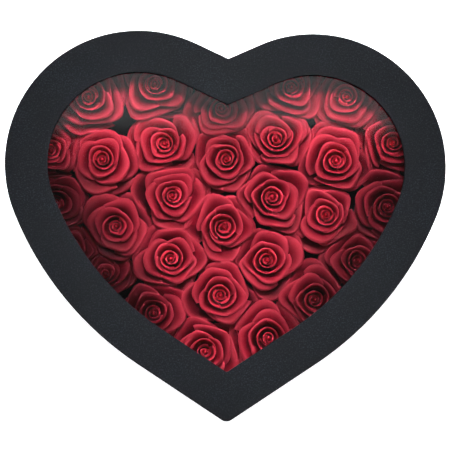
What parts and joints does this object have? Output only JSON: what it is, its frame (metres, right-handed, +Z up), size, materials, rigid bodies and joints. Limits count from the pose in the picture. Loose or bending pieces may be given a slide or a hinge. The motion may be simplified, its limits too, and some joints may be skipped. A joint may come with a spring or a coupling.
{
  "type": "heart gift box",
  "caption": "Heart-shaped rigid gift box with a clear window in its lift-off lid, filled with soap roses standing on a foam bed",
  "frame": {"origin": "centre of the box's underside", "axes": "+X across the two lobes, +Y from the tip to the notch, +Z up through the lid"},
  "size_m": [0.34, 0.2988, 0.1],
  "materials": {
    "greyboard": "raw greyboard",
    "black_paper": "matte black embossed wrap",
    "lining_paper": "smooth matte black",
    "clear_film": "clear film",
    "black_foam": "open-cell foam",
    "green_plastic": "moulded",
    "red_petals": "soft matte soap petals"
  },
  "bodies": {
    "base": {"base_bottom_paper": "black_paper", "base_floor_board": "greyboard", "base_wall_board": "greyboard", "base_side_paper": "black_paper", "base_liner": "lining_paper", "foam_bed": "black_foam", "rose_holders": "green_plastic", "rose_01": "red_petals", "rose_02": "red_petals", "rose_03": "red_petals", "rose_04": "red_petals", "rose_05": "red_petals", "rose_06": "red_petals", "rose_07": "red_petals", "rose_08": "red_petals", "rose_09": "red_petals", "rose_10": "red_petals", "rose_11": "red_petals", "rose_12": "red_petals", "rose_13": "red_petals", "rose_14": "red_petals", "rose_15": "red_petals", "rose_16": "red_petals", "rose_17": "red_petals", "rose_18": "red_petals", "rose_19": "red_petals", "rose_20": "red_petals", "rose_21": "red_petals", "rose_22": "red_petals", "rose_23": "red_petals", "rose_24": "red_petals", "rose_25": "red_petals", "rose_26": "red_petals", "rose_27": "red_petals", "rose_28": "red_petals", "rose_29": "red_petals"},
    "lid": {"lid_top_board": "greyboard", "lid_rim_board": "greyboard", "lid_side_paper": "black_paper", "lid_top_paper": "black_paper", "window_film": "clear_film", "lid_lining": "lining_paper"}
  },
  "joints": [
    {"name": "lid_lift", "type": "slide", "parent": "base", "child": "lid", "axis": [0, 0, 1], "range_m": [0, 0.08]}
  ]
}
